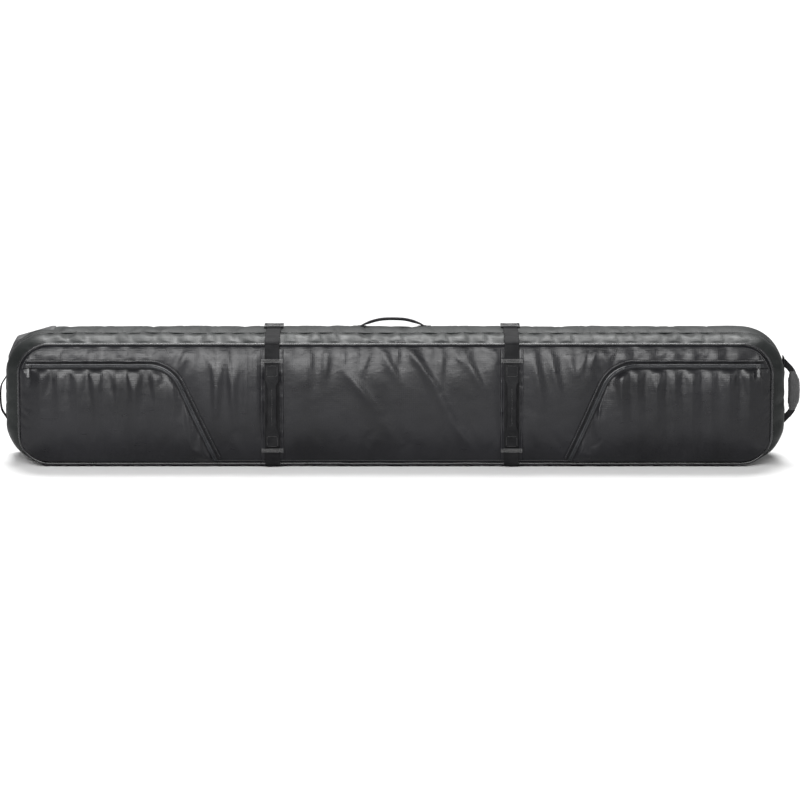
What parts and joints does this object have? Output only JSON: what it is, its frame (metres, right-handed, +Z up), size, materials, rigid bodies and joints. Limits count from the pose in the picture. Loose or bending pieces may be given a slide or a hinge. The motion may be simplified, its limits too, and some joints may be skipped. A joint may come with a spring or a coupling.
{
  "type": "wheeled snowboard bag",
  "caption": "Long padded snowboard bag with wheels at one end, a zipped front cover, compression straps, cover pockets and carry handles.",
  "frame": {"origin": "middle of the flat resting face, on the long side that the bag stands on", "axes": "+X towards the tow handle, -X towards the wheels, -Y out of the opening front cover, +Y out of the back panel, +Z up"},
  "size_m": [1.7375, 0.2322, 0.302],
  "materials": {
    "shell_fabric": "coated tarpaulin with a fine ripstop, semi-gloss",
    "front_fabric": "coated tarpaulin, glossy on its folds",
    "webbing": "woven webbing, matte",
    "piping": "smooth coated piping with a soft gloss",
    "foam": "closed-cell foam",
    "lining": "thin woven lining",
    "stiffener": "sheet plastic",
    "zip_tape": "woven tape with a nylon coil",
    "zip_film": "coated water-resistant zip",
    "zip_metal": "black coated zip slider",
    "pull_tab": "moulded pull",
    "buckle_plastic": "moulded acetal",
    "housing_plastic": "moulded, fine texture",
    "steel": "plated",
    "wheel_tyre": "urethane",
    "wheel_hub": "moulded nylon",
    "grip": "foam-backed grip"
  },
  "bodies": {
    "root": {"top_gusset": "shell_fabric", "bottom_gusset": "shell_fabric", "wheel_end_wall": "shell_fabric", "tow_end_wall": "shell_fabric", "back_panel": "shell_fabric", "end_handle_patches": "shell_fabric", "gusset_seam": "piping", "rear_piping": "piping", "wall_padding": "foam", "back_padding": "foam", "wall_lining": "lining", "back_lining": "lining", "base_stiffener": "stiffener", "main_zip_wall_tape": "zip_tape", "hinge_strip": "shell_fabric", "wheel_housing": "housing_plastic", "housing_screws": "steel", "wheel_axles": "steel", "top_handle_anchors": "webbing", "left_rear_strap": "webbing", "left_strap_catch": "buckle_plastic", "right_rear_strap": "webbing", "right_strap_catch": "buckle_plastic"},
    "cover": {"left_pocket_zip": "zip_film", "left_pocket_panel": "front_fabric", "left_placket": "front_fabric", "left_front_strap": "webbing", "left_grab_handle": "webbing", "right_pocket_zip": "zip_film", "right_pocket_panel": "front_fabric", "right_placket": "front_fabric", "right_front_strap": "webbing", "right_grab_handle": "webbing", "front_panel": "front_fabric", "front_piping": "piping", "front_padding": "foam", "front_lining": "lining", "main_zip_cover_tape": "zip_tape"},
    "left_release": {"left_top_strap": "webbing", "left_buckle": "buckle_plastic"},
    "left_main_slider": {"left_main_slider": "zip_metal"},
    "left_main_pull": {"left_main_pull": "pull_tab"},
    "left_pocket_slider": {"left_pocket_slider": "zip_metal"},
    "left_pocket_pull": {"left_pocket_pull": "pull_tab"},
    "right_release": {"right_top_strap": "webbing", "right_buckle": "buckle_plastic"},
    "right_main_slider": {"right_main_slider": "zip_metal"},
    "right_main_pull": {"right_main_pull": "pull_tab"},
    "right_pocket_slider": {"right_pocket_slider": "zip_metal"},
    "right_pocket_pull": {"right_pocket_pull": "pull_tab"},
    "upper_wheel": {"upper_tyre": "wheel_tyre", "upper_hub": "wheel_hub", "upper_bearings": "steel"},
    "lower_wheel": {"lower_tyre": "wheel_tyre", "lower_hub": "wheel_hub", "lower_bearings": "steel"},
    "top_handle": {"top_handle": "webbing"},
    "haul_loop": {"haul_loop": "webbing"},
    "tow_handle": {"tow_strap": "webbing", "tow_grip": "grip"}
  },
  "joints": [
    {"name": "cover_hinge", "type": "hinge", "parent": "root", "child": "cover", "pos_m": [0, -0.09, 0.014], "axis": [1, 0, 0], "range_deg": [0, 74]},
    {"name": "left_strap_release", "type": "hinge", "parent": "cover", "child": "left_release", "pos_m": [-0.264, -0.0955, 0.2755], "axis": [1, 0, 0], "range_deg": [0, 150]},
    {"name": "right_strap_release", "type": "hinge", "parent": "cover", "child": "right_release", "pos_m": [0.25, -0.0955, 0.2755], "axis": [1, 0, 0], "range_deg": [0, 150]},
    {"name": "left_main_slide", "type": "slide", "parent": "root", "child": "left_main_slider", "axis": [1, 0, 0], "range_m": [-0.7, 0]},
    {"name": "left_main_pull_lift", "type": "hinge", "parent": "left_main_slider", "child": "left_main_pull", "pos_m": [-0.029, -0.0846, 0.2715], "axis": [0, 1, 0], "range_deg": [0, 150]},
    {"name": "right_main_slide", "type": "slide", "parent": "root", "child": "right_main_slider", "axis": [1, 0, 0], "range_m": [0, 0.7]},
    {"name": "right_main_pull_lift", "type": "hinge", "parent": "right_main_slider", "child": "right_main_pull", "pos_m": [-0.001, -0.0846, 0.2715], "axis": [0, -1, 0], "range_deg": [0, 150]},
    {"name": "left_pocket_slide", "type": "slide", "parent": "cover", "child": "left_pocket_slider", "axis": [1, 0, 0], "range_m": [0, 0.24]},
    {"name": "left_pocket_pull_swing", "type": "hinge", "parent": "left_pocket_slider", "child": "left_pocket_pull", "pos_m": [-0.786, -0.1134, 0.223], "axis": [0, 1, 0], "range_deg": [-80, 80]},
    {"name": "right_pocket_slide", "type": "slide", "parent": "cover", "child": "right_pocket_slider", "axis": [1, 0, 0], "range_m": [-0.25, 0]},
    {"name": "right_pocket_pull_swing", "type": "hinge", "parent": "right_pocket_slider", "child": "right_pocket_pull", "pos_m": [0.778, -0.1134, 0.223], "axis": [0, 1, 0], "range_deg": [-80, 80]},
    {"name": "top_handle_tilt", "type": "hinge", "parent": "root", "child": "top_handle", "pos_m": [-0.007, 0.057, 0.287], "axis": [1, 0, 0], "range_deg": [-80, 80]},
    {"name": "haul_loop_swing", "type": "hinge", "parent": "root", "child": "haul_loop", "pos_m": [-0.846, 0, 0.137], "axis": [0, 0, 1], "range_deg": [-60, 60]},
    {"name": "tow_handle_swing", "type": "hinge", "parent": "root", "child": "tow_handle", "pos_m": [0.847, 0, 0.1505], "axis": [0, 0, 1], "range_deg": [-60, 60]},
    {"name": "upper_wheel_spin", "type": "hinge", "parent": "root", "child": "upper_wheel", "pos_m": [-0.8, 0.074, 0.208], "axis": [0, 0, 1], "continuous": true},
    {"name": "lower_wheel_spin", "type": "hinge", "parent": "root", "child": "lower_wheel", "pos_m": [-0.8, 0.074, 0.072], "axis": [0, 0, 1], "continuous": true}
  ]
}
